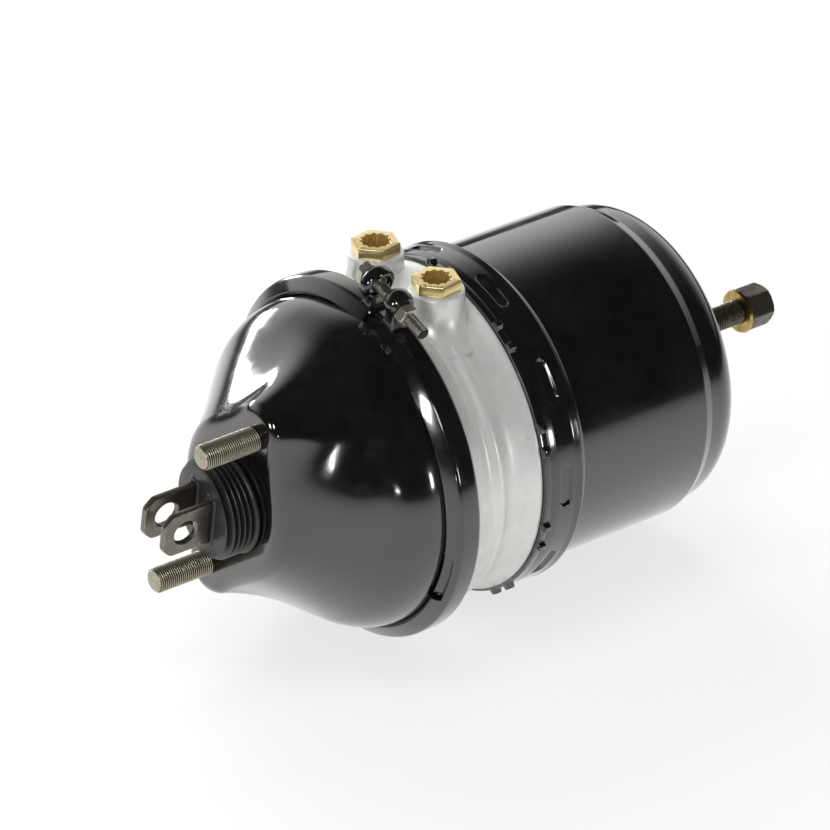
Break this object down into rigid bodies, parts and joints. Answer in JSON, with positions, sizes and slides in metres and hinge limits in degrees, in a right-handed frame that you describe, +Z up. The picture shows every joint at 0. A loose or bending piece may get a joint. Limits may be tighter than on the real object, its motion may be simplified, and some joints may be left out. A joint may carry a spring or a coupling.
{
  "type": "air brake chamber",
  "caption": "Combined service and spring air brake chamber with domed housing, clamp band, cast body with two ports, spring cylinder, fork push rod and caging bolt.",
  "frame": {"origin": "centre of the mounting face, on the chamber's axis, midway between the two studs", "axes": "-Y out of the mounting face along the studs and the fork, +Y along the spring cylinder to the release bolt, +Z up towards the two ports"},
  "size_m": [0.233, 0.4805, 0.2572],
  "materials": {
    "gloss_black_paint": "gloss black enamel over drawn sheet steel",
    "stud_steel": "zinc-flake coated steel, olive grey",
    "plain_steel": "plain machined steel",
    "bellows_rubber": "semi-matt moulded rubber",
    "seal_rubber": "moulded rubber",
    "spring_steel": "coated spring wire",
    "bolt_zinc": "bright zinc plate",
    "cast_aluminium": "satin die casting",
    "port_brass": "machined yellow brass",
    "bush_plastic": "moulded bearing plastic",
    "release_steel": "dark olive phosphated steel",
    "washer_brass": "yellow passivated ring",
    "fork_steel": "brown grey coated steel"
  },
  "bodies": {
    "chamber": {"service_housing": "gloss_black_paint", "mounting_studs": "stud_steel", "stud_backing_plate": "plain_steel", "bellows_retainer": "plain_steel", "bellows": "bellows_rubber", "return_spring": "spring_steel", "diaphragm": "seal_rubber", "clamp_band": "gloss_black_paint", "clamp_bolt": "bolt_zinc", "clamp_nut": "bolt_zinc", "flange_body": "cast_aluminium", "service_port_fitting": "port_brass", "spring_port_fitting": "port_brass", "lock_ring": "gloss_black_paint", "spring_cylinder": "gloss_black_paint", "cylinder_seal": "seal_rubber", "release_boss": "plain_steel", "tube_bush": "bush_plastic", "tube_seals": "seal_rubber", "spring_piston": "cast_aluminium", "piston_seal": "seal_rubber", "piston_guide_ring": "bush_plastic", "piston_tube": "plain_steel", "tube_end_pad": "bush_plastic", "power_spring": "spring_steel"},
    "push_rod": {"pushrod": "fork_steel", "push_plate": "plain_steel", "fork": "fork_steel"},
    "release_carriage": {"thrust_collar": "plain_steel"},
    "release_screw": {"release_bolt": "release_steel", "release_hex": "release_steel", "hex_pin": "plain_steel", "release_washer": "washer_brass"}
  },
  "joints": [
    {"name": "pushrod_stroke", "type": "slide", "parent": "chamber", "child": "push_rod", "axis": [0, -1, 0], "range_m": [0, 0.057], "stiffness_N_per_m": 2000, "springref_m": -0.06, "deforming": ["bellows", "return_spring", "diaphragm"]},
    {"name": "release_travel", "type": "slide", "parent": "chamber", "child": "release_carriage", "axis": [0, -1, 0], "range_m": [0, 0.057]},
    {"name": "release_turn", "type": "hinge", "parent": "release_carriage", "child": "release_screw", "pos_m": [0, 0.4, 0], "axis": [0, -1, 0], "range_deg": [0, 13680]}
  ],
  "couplings": [
    {"joint": "release_turn", "follows": "release_travel", "rad_per_m": 4188.8}
  ]
}
